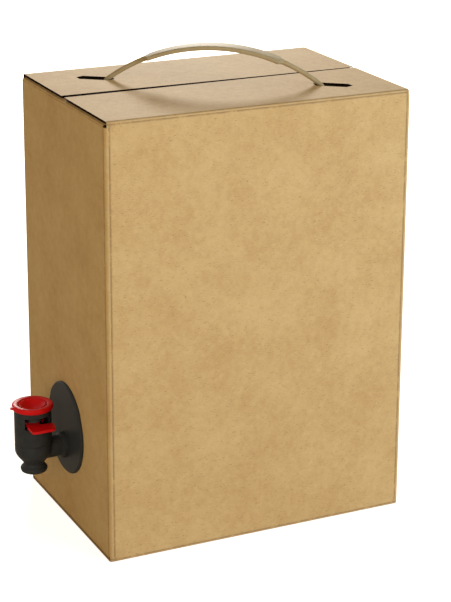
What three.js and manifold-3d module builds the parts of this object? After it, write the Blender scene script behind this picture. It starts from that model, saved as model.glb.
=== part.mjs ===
// A kraft carton that holds a filled five-litre bag, with a push-button tap low on one narrow side and a
// strap handle across the top. Millimetres, +Z up. The carton is laid out about its own middle, x along
// its long side, the tap on the -x side, and the whole group is then shifted so that the origin lies
// under the middle of everything, tap included.
import * as THREE from 'three';
import { mergeVertices } from 'three/addons/utils/BufferGeometryUtils.js';
import Module from 'manifold-3d';

// Carton
const CARTON_LENGTH = 190;
const CARTON_WIDTH = 131;
const CARTON_HEIGHT = 260;
const BOARD = 1.6;
const FOLD_RADIUS = 2.6;          // outside radius of every crease
const FLAP_GAP = 0.8;             // air between an inner flap and the outer flap over it
const SEAM_GAP = 1.3;             // between the two outer flaps
const FLAP_SETBACK = 1.3;         // outer flaps end this far inside the narrow sides
const INNER_FLAP_CLEARANCE = 0.9; // inner flaps to the broad panels
const INNER_FLAP_LENGTH = 65;
const GLUE_TAB_WIDTH = 32;
const GLUE_TAB_TAPER = 12;
const GLUE_TAB_LIP = 0.5;         // open line between the tab's crease and the broad panel's cut edge

// Slits for the handle
const SLIT_LENGTH = 23.5;
const SLIT_POINT = 3;             // length of each pointed tip
const SLIT_ANGLE = -37;           // degrees, seen from above
const SLIT_OUTBOARD = 6.6;        // from the neck in a slit out to the slit's middle

// Handle
const HANDLE_ANGLE = -31;         // degrees, seen from above
const NECK_RADIUS = 1.5;
const NECK_CLEARANCE = 0.4;       // all round, in the slit
const GRIP_WIDTH = 10;
const GRIP_THICKNESS = 2.7;
const GRIP_HALF_LENGTH = 41;      // along the arch, to the shoulders
const SHOULDER_LENGTH = 3.5;
const ARCH_RISE = 20.7;           // middle of the strap above the carton's top
const ARCH_SPAN = 124.5;          // between the places where the necks meet the top
const NECK_BEND_RADIUS = 4;
const BAR_RADIUS = 2;
const BAR_LENGTH = 20;
const HANDLE_LIFT = 6;            // slack before the bars meet the flaps

// Bag
const BAG_HEIGHT = 216;
const BAG_CORNER = 22;
const BAG_EDGE = 14;
const BAG_SIDE_CLEARANCE = 0.8;

// Tap: barrel, measured from its own axis
const BARREL_RADIUS = 11;
const BARREL_REACH = 21.5;        // barrel axis from the carton's face
const BARREL_TOP = 73.5;          // heights are above the base
const BARREL_RIDGE = 54;
const RIDGE_DEPTH = 0.35;
const BOWL_TOP = 49.6;
const WAIST_HEIGHT = 41.2;
const WAIST_RADIUS = 6.1;
const SPOUT_BOTTOM = 35.5;
const SPOUT_RADIUS = 8;
const SPOUT_WALL = 1.1;
const UPPER_WALL = 1.5;
const CHAMBER_RADIUS = 6.5;
const SEAT_HEIGHT = 43.4;
const SEAT_THICKNESS = 1.2;
const SEAT_BORE = 3.4;
const DECK_HEIGHT = 55;
const DECK_THICKNESS = 2;

// Tap: inlet, disc and spigot
const INLET_HEIGHT = 48.6;
const INLET_RADIUS = 6.3;
const INLET_BORE = 3.6;
const COLLAR_RADIUS = 7.8;
const COLLAR_LENGTH = 3;
const DISC_RADIUS = 27;
const DISC_HEIGHT = 58.6;         // middle of the disc above the base
const DISC_THICKNESS = 1.8;
const DISC_BEVEL = 0.8;
const SPIGOT_RADIUS = 9;
const SPIGOT_BEAD = 0.25;

// Tap: window, wings, cap, button, valve
const WINDOW_WIDTH = 15.4;
const WING_CLEARANCE = 0.4;       // each side, in the window
const WING_SPAN = 42;
const WING_TOP = 67.3;
const WING_THICKNESS = 2;
const WING_CORNER = 2.4;
const WING_EDGE = 0.45;
const WINDOW_TOP = 72.1;
const CAP_RADIUS = 12.1;
const CAP_HEIGHT = 2.4;           // above the barrel
const CAP_LIP_LENGTH = 1.6;       // pointed lip on the side away from the carton
const CAP_LIP_HALF_ANGLE = 14;
const CAP_SKIRT = 1.1;            // reaches down inside the barrel
const BUTTON_RADIUS = 7.9;
const BUTTON_TOP = 75.4;
const BUTTON_SKIRT = 0.7;         // below the underside
const BUTTON_DISH = 1.3;
const BUTTON_WALL = 1.2;
const BUTTON_TRAVEL = 4;
const STEM_RADIUS = 2;
const BOSS_WALL = 1.3;
const BOSS_LENGTH = 2.2;
const PLUG_RADIUS = 4.4;
const PLUG_LENGTH = 1.8;
const PLUG_TAPER = 0.9;
const STEM_FLANGE_RADIUS = 2.9;
const STEM_FLANGE_THICKNESS = 0.7;
const BELLOWS_RADIUS = 5;
const BELLOWS_WALL = 0.6;
const BELLOWS_FOLD_DEPTH = 1.2;
const BELLOWS_FOLDS = 5;

// Gland of the bag
const GLAND_WALL = 2.6;
const GLAND_FLANGE_RADIUS = 17;
const GLAND_FLANGE = 1.5;
const GLAND_GROOVE = 2.2;
const WELD_FLANGE_RADIUS = 21;
const WELD_FLANGE = 1.3;

// Clearances
const SEAT_GAP = 0.3;             // between pieces that rest on or fit in each other
const RUNNING_GAP = 0.35;         // round what slides
const ROUND = 44;
const ROUND_SMALL = 24;

const wasm = await Module();
wasm.setup();

// Solids for cutting and joining
function toSolid(geometry) {
  const plain = geometry.clone();
  plain.deleteAttribute('normal');
  plain.deleteAttribute('uv');
  const welded = mergeVertices(plain, 1e-4);
  const corners = [];
  const spots = welded.attributes.position;
  const [a, b, c] = [new THREE.Vector3(), new THREE.Vector3(), new THREE.Vector3()];
  let volume = 0;
  for (let i = 0; i < welded.index.count; i += 3) {
    const triangle = [0, 1, 2].map((k) => welded.index.getX(i + k));
    if (new Set(triangle).size === 3) {
      corners.push(triangle);
      [a, b, c].forEach((corner, k) => corner.fromBufferAttribute(spots, triangle[k]));
      volume += a.dot(b.cross(c));
    }
  }
  const facingOut = volume > 0 ? corners : corners.map(([p, q, r]) => [p, r, q]);
  return new wasm.Manifold(new wasm.Mesh({
    numProp: 3,
    vertProperties: new Float32Array(spots.array),
    triVerts: new Uint32Array(facingOut.flat()),
  }));
}

function toGeometry(solid) {
  const mesh = solid.getMesh();
  const geometry = new THREE.BufferGeometry();
  geometry.setAttribute('position', new THREE.BufferAttribute(mesh.vertProperties, 3));
  geometry.setIndex(new THREE.BufferAttribute(mesh.triVerts, 1));
  geometry.computeVertexNormals();
  return geometry;
}

const join = (...solids) => solids.reduce((whole, next) => whole.add(next));
const cut = (solid, ...tools) => tools.reduce((left, tool) => left.subtract(tool), solid);

// Plain forms, placed
function prism(shape, depth, steps = 1) {
  return new THREE.ExtrudeGeometry(shape, { depth, steps, bevelEnabled: false, curveSegments: 8 });
}

function block(x0, x1, y0, y1, z0, z1) {
  const geometry = new THREE.BoxGeometry(x1 - x0, y1 - y0, z1 - z0);
  geometry.translate((x0 + x1) / 2, (y0 + y1) / 2, (z0 + z1) / 2);
  return geometry;
}

function roundedRectangle(halfX, halfY, radius) {
  const shape = new THREE.Shape();
  shape.moveTo(-halfX + radius, -halfY);
  shape.lineTo(halfX - radius, -halfY);
  shape.absarc(halfX - radius, -halfY + radius, radius, -Math.PI / 2, 0);
  shape.lineTo(halfX, halfY - radius);
  shape.absarc(halfX - radius, halfY - radius, radius, 0, Math.PI / 2);
  shape.lineTo(-halfX + radius, halfY);
  shape.absarc(-halfX + radius, halfY - radius, radius, Math.PI / 2, Math.PI);
  shape.lineTo(-halfX, -halfY + radius);
  shape.absarc(-halfX + radius, -halfY + radius, radius, Math.PI, 1.5 * Math.PI);
  return shape;
}

// A closed profile of [radius, height] points, turned into a solid about an upright axis
function turnedGeometry(profile, segments) {
  const points = profile.map(([radius, height]) => new THREE.Vector2(radius, height));
  points.push(points[0].clone());
  return new THREE.LatheGeometry(points, segments);
}

function turned(profile, segments = ROUND) {
  return toSolid(turnedGeometry(profile, segments).rotateX(Math.PI / 2));
}

// The same about a level axis at a given height: profile heights run out from the carton's middle towards
// the tap
function turnedTowardsTap(profile, height, segments = ROUND) {
  return toSolid(turnedGeometry(profile, segments).rotateZ(Math.PI / 2).translate(0, 0, height));
}

// Points of a round stretch between two angles in degrees, ends included
function roundStretch(centreR, centreH, radius, from, to, steps) {
  return Array.from({ length: steps + 1 }, (_, i) => {
    const angle = THREE.MathUtils.degToRad(from + (to - from) * i / steps);
    return [centreR + radius * Math.cos(angle), centreH + radius * Math.sin(angle)];
  });
}

// One folded blank. A long strip is a bottom flap, a panel and a top flap with their two creases; its
// section is a bracket, closed end at -reach. The wall ring joins the four panels at the upright creases.
function bracket(reach, low, high, flap, sideways) {
  const inner = FOLD_RADIUS - BOARD;
  const end = -reach + flap;
  const shape = new THREE.Shape();
  shape.moveTo(end, high);
  shape.lineTo(-reach + FOLD_RADIUS, high);
  shape.absarc(-reach + FOLD_RADIUS, high - FOLD_RADIUS, FOLD_RADIUS, Math.PI / 2, Math.PI);
  shape.lineTo(-reach, low + FOLD_RADIUS);
  shape.absarc(-reach + FOLD_RADIUS, low + FOLD_RADIUS, FOLD_RADIUS, Math.PI, 1.5 * Math.PI);
  shape.lineTo(end, low);
  shape.lineTo(end, low + BOARD);
  shape.lineTo(-reach + FOLD_RADIUS, low + BOARD);
  shape.absarc(-reach + FOLD_RADIUS, low + FOLD_RADIUS, inner, 1.5 * Math.PI, Math.PI, true);
  shape.lineTo(-reach + BOARD, high - FOLD_RADIUS);
  shape.absarc(-reach + FOLD_RADIUS, high - FOLD_RADIUS, inner, Math.PI, Math.PI / 2, true);
  shape.lineTo(end, high - BOARD);
  const geometry = prism(shape, sideways);
  geometry.translate(0, 0, -sideways / 2);
  geometry.rotateX(Math.PI / 2);
  return geometry;
}

const halfLength = CARTON_LENGTH / 2;
const halfWidth = CARTON_WIDTH / 2;
const innerTop = CARTON_HEIGHT - BOARD - FLAP_GAP;    // outer face of the inner top flaps
const innerBottom = BOARD + FLAP_GAP;
const flapUnderside = innerTop - BOARD;
const slitWidth = 2 * (NECK_RADIUS + NECK_CLEARANCE);
const archRadius = (ARCH_RISE ** 2 + (ARCH_SPAN / 2) ** 2) / (2 * ARCH_RISE);
const archHalfAngle = Math.asin(ARCH_SPAN / 2 / archRadius);
const handleAngle = THREE.MathUtils.degToRad(HANDLE_ANGLE);
const neckPlace = (ARCH_SPAN + NECK_BEND_RADIUS * (1 - Math.sin(archHalfAngle))) / 2;
const glandRadius = SPIGOT_RADIUS + SEAT_GAP + GLAND_WALL;
const holeRadius = glandRadius + SEAT_GAP;

function slitCutter(side) {
  const half = SLIT_LENGTH / 2;
  const shape = new THREE.Shape();
  shape.moveTo(-half, 0);
  shape.lineTo(-half + SLIT_POINT, -slitWidth / 2);
  shape.lineTo(half - SLIT_POINT, -slitWidth / 2);
  shape.lineTo(half, 0);
  shape.lineTo(half - SLIT_POINT, slitWidth / 2);
  shape.lineTo(-half + SLIT_POINT, slitWidth / 2);
  const depth = CARTON_HEIGHT - flapUnderside;
  const geometry = prism(shape, 3 * depth);
  const slitAngle = THREE.MathUtils.degToRad(SLIT_ANGLE);
  const middleX = neckPlace * Math.cos(handleAngle) + SLIT_OUTBOARD * Math.cos(slitAngle);
  const middleY = neckPlace * Math.sin(handleAngle) + SLIT_OUTBOARD * Math.sin(slitAngle);
  geometry.rotateZ(slitAngle);
  geometry.translate(side * middleX, side * middleY, flapUnderside - depth);
  return toSolid(geometry);
}

function cartonSolid() {
  const outline = toSolid(prism(roundedRectangle(halfLength, halfWidth, FOLD_RADIUS), CARTON_HEIGHT));
  const ringShape = roundedRectangle(halfLength, halfWidth, FOLD_RADIUS);
  const inside = roundedRectangle(halfLength - BOARD, halfWidth - BOARD, FOLD_RADIUS - BOARD);
  ringShape.holes.push(new THREE.Path(inside.getPoints(8)));
  const ringLow = innerBottom + FOLD_RADIUS;
  const ringHigh = innerTop - FOLD_RADIUS;
  const ring = prism(ringShape, ringHigh - ringLow);
  ring.translate(0, 0, ringLow);

  const broadFlap = halfWidth - SEAM_GAP / 2;
  const stripLength = CARTON_LENGTH - 2 * FLAP_SETBACK;
  const innerFlapWidth = CARTON_WIDTH - 2 * (BOARD + INNER_FLAP_CLEARANCE);
  const strips = [0, 1].flatMap((turn) => {
    const broad = bracket(halfWidth, 0, CARTON_HEIGHT, broadFlap, stripLength);
    broad.rotateZ(Math.PI / 2 + turn * Math.PI);
    const narrow = bracket(halfLength, innerBottom, innerTop, INNER_FLAP_LENGTH, innerFlapWidth);
    narrow.rotateZ(turn * Math.PI);
    return [toSolid(broad).intersect(outline), toSolid(narrow)];
  });

  const tabShape = new THREE.Shape();
  const tabEnd = halfLength - BOARD - GLUE_TAB_WIDTH;
  tabShape.moveTo(halfLength - BOARD, ringLow);
  tabShape.lineTo(halfLength - BOARD, ringHigh);
  tabShape.lineTo(tabEnd, ringHigh - GLUE_TAB_TAPER);
  tabShape.lineTo(tabEnd, ringLow + GLUE_TAB_TAPER);
  const tab = prism(tabShape, BOARD);
  tab.rotateX(Math.PI / 2);
  tab.translate(0, halfWidth - BOARD, 0);
  const lipX = halfLength - FOLD_RADIUS;
  const lip = block(lipX - GLUE_TAB_LIP, lipX, halfWidth - BOARD, halfWidth + BOARD, ringLow, ringHigh);

  const hole = turnedTowardsTap([[0, halfLength - 3 * BOARD], [holeRadius, halfLength - 3 * BOARD],
    [holeRadius, halfLength + BOARD], [0, halfLength + BOARD]], INLET_HEIGHT, ROUND_SMALL);
  return cut(join(toSolid(ring), ...strips, toSolid(tab)), toSolid(lip), hole, slitCutter(1),
    slitCutter(-1));
}

// The strap is one moulding. Flat, it is a grip with shoulders and a round neck at each end; fitted, it
// springs up in an arch and its necks bend down through the slits to the crosswise bars.
const barHeight = flapUnderside - SEAT_GAP - HANDLE_LIFT - BAR_RADIUS;

class StrapLine extends THREE.Curve {
  constructor() {
    super();
    this.halfArch = archRadius * archHalfAngle;
    this.bendAngle = Math.PI / 2 - archHalfAngle;
    this.bend = NECK_BEND_RADIUS * this.bendAngle;
    this.bendDrop = NECK_BEND_RADIUS * Math.cos(archHalfAngle);
    this.drop = CARTON_HEIGHT - this.bendDrop - barHeight;
    this.half = this.halfArch + this.bend + this.drop;
  }

  // Place and lean at a signed distance from the crown: lean is the tangent's angle below level
  at(distance) {
    const side = Math.sign(distance) || 1;
    const run = Math.abs(distance);
    const arch = Math.min(run, this.halfArch) / archRadius;
    let along = archRadius * Math.sin(arch);
    let height = CARTON_HEIGHT + ARCH_RISE - archRadius * (1 - Math.cos(arch));
    let lean = arch;
    if (run > this.halfArch) {
      const turn = Math.min(run - this.halfArch, this.bend) / NECK_BEND_RADIUS;
      lean = archHalfAngle + turn;
      along += NECK_BEND_RADIUS * (Math.sin(lean) - Math.sin(archHalfAngle));
      height -= NECK_BEND_RADIUS * (Math.cos(archHalfAngle) - Math.cos(lean));
      height -= Math.max(run - this.halfArch - this.bend, 0);
    }
    return { along: side * along, height, lean: side * lean };
  }
}

const strap = new StrapLine();

// Half width of the strap at a distance from its crown
function strapHalfWidth(distance) {
  const fade = THREE.MathUtils.smoothstep(Math.abs(distance), GRIP_HALF_LENGTH - SHOULDER_LENGTH,
    GRIP_HALF_LENGTH);
  return THREE.MathUtils.lerp(GRIP_WIDTH / 2, NECK_RADIUS, fade);
}

function strapHalfThickness(distance) {
  const fade = THREE.MathUtils.smoothstep(Math.abs(distance), GRIP_HALF_LENGTH - SHOULDER_LENGTH,
    GRIP_HALF_LENGTH);
  return THREE.MathUtils.lerp(GRIP_THICKNESS / 2, NECK_RADIUS, fade);
}

function handleSolid() {
  const sides = 14;
  const steps = 64;
  const body = new THREE.CylinderGeometry(1, 1, 2 * strap.half, sides, steps);
  const spots = body.attributes.position;
  for (let i = 0; i < spots.count; i += 1) {
    const distance = spots.getY(i);
    const across = spots.getX(i);
    const through = spots.getZ(i);
    const halfWide = strapHalfWidth(distance);
    const halfThick = strapHalfThickness(distance);
    const flatness = THREE.MathUtils.clamp((halfWide - NECK_RADIUS) / (GRIP_WIDTH / 2 - NECK_RADIUS), 0, 1);
    const power = THREE.MathUtils.lerp(1, 0.62, flatness);   // rounds the grip's edges, not its faces
    const wide = halfWide * Math.sign(across) * Math.abs(across) ** power;
    const thick = halfThick * Math.sign(through) * Math.abs(through) ** power;
    const { along, height, lean } = strap.at(distance);
    spots.setXYZ(i, along + thick * Math.sin(lean), -wide, height + thick * Math.cos(lean));
  }
  const bars = [-1, 1].map((side) => {
    const bar = new THREE.CapsuleGeometry(BAR_RADIUS, BAR_LENGTH - 2 * BAR_RADIUS, 5, sides);
    bar.translate(side * strap.at(strap.half).along, 0, barHeight);
    return toSolid(bar);
  });
  return join(toSolid(body), ...bars).rotate([0, 0, HANDLE_ANGLE]);
}

// The filled bag: a pillow that the carton's walls have squared, dented where the gland is welded in
const glandInner = -halfLength + BOARD + SEAT_GAP;                    // face of the flange behind the board
const weldBack = glandInner + GLAND_FLANGE + GLAND_GROOVE + WELD_FLANGE;

function bagSolid() {
  const front = -halfWidth + BOARD + BAG_SIDE_CLEARANCE;
  const back = halfWidth - 2 * BOARD - BAG_SIDE_CLEARANCE;
  const halfX = halfLength - BOARD - BAG_SIDE_CLEARANCE;
  const halfY = (back - front) / 2;
  const shape = roundedRectangle(halfX - BAG_EDGE, halfY - BAG_EDGE, BAG_CORNER - BAG_EDGE);
  const pillow = new THREE.ExtrudeGeometry(shape, {
    depth: BAG_HEIGHT - 2 * BAG_EDGE,
    bevelEnabled: true,
    bevelSize: BAG_EDGE,
    bevelThickness: BAG_EDGE,
    bevelSegments: 6,
    curveSegments: 6,
  });
  pillow.translate(0, (front + back) / 2, innerBottom + BOARD + SEAT_GAP + BAG_EDGE);
  const dent = turnedTowardsTap([[0, -weldBack - SEAT_GAP], [WELD_FLANGE_RADIUS + SEAT_GAP,
    -weldBack - SEAT_GAP], [WELD_FLANGE_RADIUS + SEAT_GAP, halfLength], [0, halfLength]], INLET_HEIGHT,
  ROUND_SMALL);
  return cut(toSolid(pillow), dent);
}

// The gland: a ring welded into the bag, pushed out through the board and held by the flange behind it
function glandSolid() {
  const bore = SPIGOT_RADIUS + SEAT_GAP;
  const flangeFront = -glandInner;
  const flangeBack = flangeFront - GLAND_FLANGE;
  const weldFront = flangeBack - GLAND_GROOVE;
  const end = -weldBack;
  return turnedTowardsTap([[bore, end], [WELD_FLANGE_RADIUS, end], [WELD_FLANGE_RADIUS, weldFront],
    [glandRadius, weldFront], [glandRadius, flangeBack], [GLAND_FLANGE_RADIUS, flangeBack],
    [GLAND_FLANGE_RADIUS, flangeFront], [glandRadius, flangeFront], [glandRadius, halfLength - SEAT_GAP],
    [bore, halfLength - SEAT_GAP]], INLET_HEIGHT);
}

// Tap body: spout, bowl, barrel, inlet, disc and spigot in one moulding
const barrelX = -halfLength - BARREL_REACH;
const bowlHeight = BOWL_TOP - WAIST_HEIGHT;
const spoutBore = WAIST_RADIUS - SPOUT_WALL;
const barrelBore = BARREL_RADIUS - UPPER_WALL;

function barrelSolid() {
  const spoutMiddle = SPOUT_BOTTOM + 2;
  const bowl = Array.from({ length: 9 }, (_, i) => {
    const t = i / 8;
    const swell = Math.sin(t * Math.PI / 2) ** 1.25;
    return [WAIST_RADIUS + (BARREL_RADIUS - WAIST_RADIUS) * swell, WAIST_HEIGHT + bowlHeight * t];
  });
  const outer = [
    [SPOUT_RADIUS - 1.4, SPOUT_BOTTOM],
    [SPOUT_RADIUS - 0.5, SPOUT_BOTTOM + 0.5],
    ...roundStretch(SPOUT_RADIUS - 1.6, spoutMiddle, 1.6, -30, 60, 5),
    [WAIST_RADIUS + 0.25, WAIST_HEIGHT - 1.2],
    ...bowl,
    [BARREL_RADIUS, BARREL_RIDGE - 0.8],
    [BARREL_RADIUS - RIDGE_DEPTH, BARREL_RIDGE - 0.5],
    [BARREL_RADIUS - RIDGE_DEPTH, BARREL_RIDGE],
    [BARREL_RADIUS, BARREL_RIDGE + 0.5],
    [BARREL_RADIUS, BARREL_TOP],
  ];
  const deckTop = DECK_HEIGHT + DECK_THICKNESS;
  const stemBore = STEM_RADIUS + RUNNING_GAP;
  const inner = [
    [barrelBore, BARREL_TOP],
    [barrelBore, deckTop],
    [stemBore, deckTop],
    [stemBore, DECK_HEIGHT],
    [CHAMBER_RADIUS, DECK_HEIGHT - 0.8],
    [CHAMBER_RADIUS, SEAT_HEIGHT + SEAT_THICKNESS + 2],
    [SEAT_BORE + 0.6, SEAT_HEIGHT + SEAT_THICKNESS],
    [SEAT_BORE, SEAT_HEIGHT + SEAT_THICKNESS - 0.4],
    [SEAT_BORE, SEAT_HEIGHT + 0.3],
    [SEAT_BORE + 0.4, SEAT_HEIGHT],
    [spoutBore, SEAT_HEIGHT],
    [spoutBore, SPOUT_BOTTOM + 1.6],
    [spoutBore + 0.7, SPOUT_BOTTOM],
  ];
  return turned([...outer, ...inner]).translate([barrelX, 0, 0]);
}

function tapBodySolid() {
  const face = halfLength + SEAT_GAP;
  const discFront = face + DISC_THICKNESS;
  const inletEnd = halfLength + BARREL_REACH;
  const disc = turnedTowardsTap([[0, face], [DISC_RADIUS, face], [DISC_RADIUS, discFront - DISC_BEVEL],
    [DISC_RADIUS - DISC_BEVEL, discFront], [0, discFront]], DISC_HEIGHT, 96);
  const inlet = turnedTowardsTap([[0, face], [COLLAR_RADIUS, face], [COLLAR_RADIUS,
    discFront + COLLAR_LENGTH], [INLET_RADIUS, discFront + COLLAR_LENGTH + 0.6], [INLET_RADIUS, inletEnd],
  [0, inletEnd]], INLET_HEIGHT);
  const spigotEnd = SEAT_GAP - weldBack;
  const spigot = turnedTowardsTap([[0, spigotEnd], [SPIGOT_RADIUS - 0.8, spigotEnd], [SPIGOT_RADIUS,
    spigotEnd + 0.8], [SPIGOT_RADIUS, spigotEnd + 2.4], [SPIGOT_RADIUS - SPIGOT_BEAD, spigotEnd + 2.7],
  [SPIGOT_RADIUS - SPIGOT_BEAD, face], [0, face]], INLET_HEIGHT);
  const bore = turnedTowardsTap([[0, spigotEnd - 1], [INLET_BORE, spigotEnd - 1], [INLET_BORE,
    inletEnd - CHAMBER_RADIUS / 2], [0, inletEnd - CHAMBER_RADIUS / 2]], INLET_HEIGHT, ROUND_SMALL);
  const spigotBore = turnedTowardsTap([[0, spigotEnd - 1], [SPIGOT_RADIUS - 1.6, spigotEnd - 1],
    [SPIGOT_RADIUS - 1.6, face - 1.2], [INLET_BORE, face + 0.6], [0, face + 0.6]], INLET_HEIGHT,
  ROUND_SMALL);
  const core = turned([[0, WAIST_HEIGHT], [spoutBore, WAIST_HEIGHT], [spoutBore, SEAT_HEIGHT],
    [CHAMBER_RADIUS, SEAT_HEIGHT], [CHAMBER_RADIUS, DECK_HEIGHT], [0, DECK_HEIGHT]])
    .translate([barrelX, 0, 0]);
  const sill = WING_TOP - WING_THICKNESS - SEAT_GAP;
  const window = toSolid(block(barrelX - WINDOW_WIDTH / 2, barrelX + WINDOW_WIDTH / 2, -2 * BARREL_RADIUS,
    2 * BARREL_RADIUS, sill, WINDOW_TOP));
  const neck = cut(join(disc, inlet, spigot), core, spigotBore);
  return cut(join(barrelSolid(), neck), bore, window);
}

// Finger wings: one flat plate slid through the window, with a hole for the bellows
function wingsSolid() {
  const halfWide = WINDOW_WIDTH / 2 - WING_CLEARANCE;
  const shape = roundedRectangle(halfWide - WING_EDGE, WING_SPAN / 2 - WING_EDGE, WING_CORNER);
  const hole = new THREE.Path();
  hole.absarc(0, 0, BELLOWS_RADIUS + RUNNING_GAP + WING_EDGE, 0, 2 * Math.PI, true);
  shape.holes.push(hole);
  const geometry = new THREE.ExtrudeGeometry(shape, {
    depth: WING_THICKNESS - 2 * WING_EDGE,
    bevelEnabled: true,
    bevelSize: WING_EDGE,
    bevelThickness: WING_EDGE,
    bevelSegments: 2,
    curveSegments: 6,
  });
  geometry.translate(barrelX, 0, WING_TOP - WING_THICKNESS + WING_EDGE);
  return toSolid(geometry);
}

// Cap ring: snapped on the barrel's mouth, with a pointed lip away from the carton
function capSolid() {
  const guide = BUTTON_RADIUS + RUNNING_GAP;
  const low = BARREL_TOP + SEAT_GAP / 2;
  const high = BARREL_TOP + CAP_HEIGHT;
  const skirtLow = BARREL_TOP - CAP_SKIRT;
  const skirtRadius = barrelBore - SEAT_GAP;
  const ring = turned([
    [guide, skirtLow], [skirtRadius, skirtLow], [skirtRadius, low], [CAP_RADIUS - 0.3, low],
    [CAP_RADIUS, low + 0.4], [CAP_RADIUS, high - 0.9],
    ...roundStretch(CAP_RADIUS - 0.8, high - 0.8, 0.8, 0, 90, 4),
    [guide + 0.9, high], [guide + 0.25, high - 0.25], [guide, high - 0.8],
  ]);
  const lipSpread = THREE.MathUtils.degToRad(CAP_LIP_HALF_ANGLE);
  const lipShape = new THREE.Shape();
  const root = CAP_RADIUS - 0.5;
  lipShape.moveTo(-root * Math.cos(lipSpread), root * Math.sin(lipSpread));
  lipShape.quadraticCurveTo(-CAP_RADIUS - CAP_LIP_LENGTH / 2, 0.9, -CAP_RADIUS - CAP_LIP_LENGTH, 0);
  lipShape.quadraticCurveTo(-CAP_RADIUS - CAP_LIP_LENGTH / 2, -0.9, -root * Math.cos(lipSpread),
    -root * Math.sin(lipSpread));
  const lip = prism(lipShape, 1.1);
  lip.translate(0, 0, low + 0.2);
  return join(ring, toSolid(lip)).translate([barrelX, 0, 0]);
}

// Push button: a dished top with a short skirt, and a boss that grips the stem
const buttonUnderside = BUTTON_TOP - BUTTON_DISH - BUTTON_WALL;
const bossBottom = buttonUnderside - BOSS_LENGTH;

function buttonSolid() {
  const skirtBottom = buttonUnderside - BUTTON_SKIRT;
  const dishRadius = BUTTON_RADIUS - BUTTON_WALL;
  const dish = Array.from({ length: 7 }, (_, i) => {
    const t = 1 - i / 6;
    return [dishRadius * t, BUTTON_TOP - BUTTON_DISH * (1 - t ** 2.4)];
  });
  const boss = STEM_RADIUS + SEAT_GAP;
  return turned([
    [BUTTON_RADIUS, skirtBottom], [BUTTON_RADIUS, BUTTON_TOP - 0.4],
    [BUTTON_RADIUS - 0.4, BUTTON_TOP], ...dish,
    [0, buttonUnderside], [boss, buttonUnderside], [boss, bossBottom], [boss + BOSS_WALL, bossBottom],
    [boss + BOSS_WALL, buttonUnderside], [dishRadius, buttonUnderside], [dishRadius, skirtBottom],
  ]);
}

// Valve: a stem from the button to a rubber plug that closes the seat from below
const plugTop = SEAT_HEIGHT - SEAT_GAP;
const plugBottom = plugTop - PLUG_LENGTH;
const stemBottom = plugBottom - SEAT_GAP - STEM_FLANGE_THICKNESS;

function stemSolid() {
  const top = buttonUnderside - SEAT_GAP;
  return turned([[0, stemBottom], [STEM_FLANGE_RADIUS - 0.3, stemBottom], [STEM_FLANGE_RADIUS,
    stemBottom + 0.3], [STEM_FLANGE_RADIUS, stemBottom + STEM_FLANGE_THICKNESS], [STEM_RADIUS,
    stemBottom + STEM_FLANGE_THICKNESS], [STEM_RADIUS, top - 0.4], [STEM_RADIUS - 0.4, top], [0, top]],
  ROUND_SMALL);
}

function plugSolid() {
  const bore = STEM_RADIUS + SEAT_GAP;
  return turned([[bore, plugBottom], [PLUG_RADIUS - 0.5, plugBottom], [PLUG_RADIUS, plugBottom + 0.5],
    [PLUG_RADIUS, plugTop - 0.5], [PLUG_RADIUS - PLUG_TAPER, plugTop], [bore, plugTop]], ROUND_SMALL);
}

// Bellows: a rubber sleeve round the stem that closes the wet chamber and pushes the button back
function bellowsSolid() {
  const low = DECK_HEIGHT + DECK_THICKNESS + SEAT_GAP;
  const high = bossBottom - SEAT_GAP;
  const pitch = (high - low) / BELLOWS_FOLDS;
  const points = BELLOWS_FOLDS * 4;
  const wave = (height) => BELLOWS_RADIUS - BELLOWS_FOLD_DEPTH * (1 - Math.cos(
    2 * Math.PI * (height - low) / pitch)) / 2;
  const outer = Array.from({ length: points + 1 }, (_, i) => {
    const height = low + (high - low) * i / points;
    return [wave(height), height];
  });
  const inner = outer.map(([radius, height]) => [radius - BELLOWS_WALL, height]).reverse();
  return turned([...outer, ...inner], ROUND_SMALL);
}

// Materials
const kraft = new THREE.MeshStandardMaterial({ color: 0xc4a777, roughness: 0.9, metalness: 0 });
const blackPlastic = new THREE.MeshStandardMaterial({ color: 0x2c2d2e, roughness: 0.5, metalness: 0 });
const redPlastic = new THREE.MeshStandardMaterial({ color: 0xc41216, roughness: 0.35, metalness: 0 });
const naturalPlastic = new THREE.MeshStandardMaterial({ color: 0xe6e4dc, roughness: 0.5, metalness: 0 });
const greyRubber = new THREE.MeshStandardMaterial({ color: 0x55585a, roughness: 0.8, metalness: 0 });
const beigePlastic = new THREE.MeshStandardMaterial({ color: 0xd7c9ac, roughness: 0.5, metalness: 0 });
const film = new THREE.MeshStandardMaterial({ color: 0xc9ccd0, roughness: 0.3, metalness: 0.2 });

const part = new THREE.Group();
const capReach = BARREL_REACH + CAP_RADIUS + CAP_LIP_LENGTH;
part.position.x = capReach / 2;

function addPiece(name, solid, material, x = 0) {
  const mesh = new THREE.Mesh(toGeometry(solid), material);
  mesh.name = name;
  mesh.position.x = x;
  part.add(mesh);
}

addPiece('carton', cartonSolid(), kraft);
addPiece('bag', bagSolid(), film);
addPiece('spout_gland', glandSolid(), naturalPlastic);
addPiece('handle', handleSolid(), beigePlastic);
addPiece('tap_body', tapBodySolid(), blackPlastic);
addPiece('finger_wings', wingsSolid(), redPlastic);
addPiece('cap_ring', capSolid(), redPlastic);
addPiece('push_button', buttonSolid(), redPlastic, barrelX);
addPiece('valve_stem', stemSolid(), naturalPlastic, barrelX);
addPiece('valve_plug', plugSolid(), greyRubber, barrelX);
addPiece('return_bellows', bellowsSolid(), greyRubber, barrelX);

export default part;
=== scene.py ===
"""A kraft carton with a filled bag inside, a push-button tap on one narrow side and a strap handle."""
import math

import bmesh
import bpy
import numpy as np
from mathutils import Matrix, Vector


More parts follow.
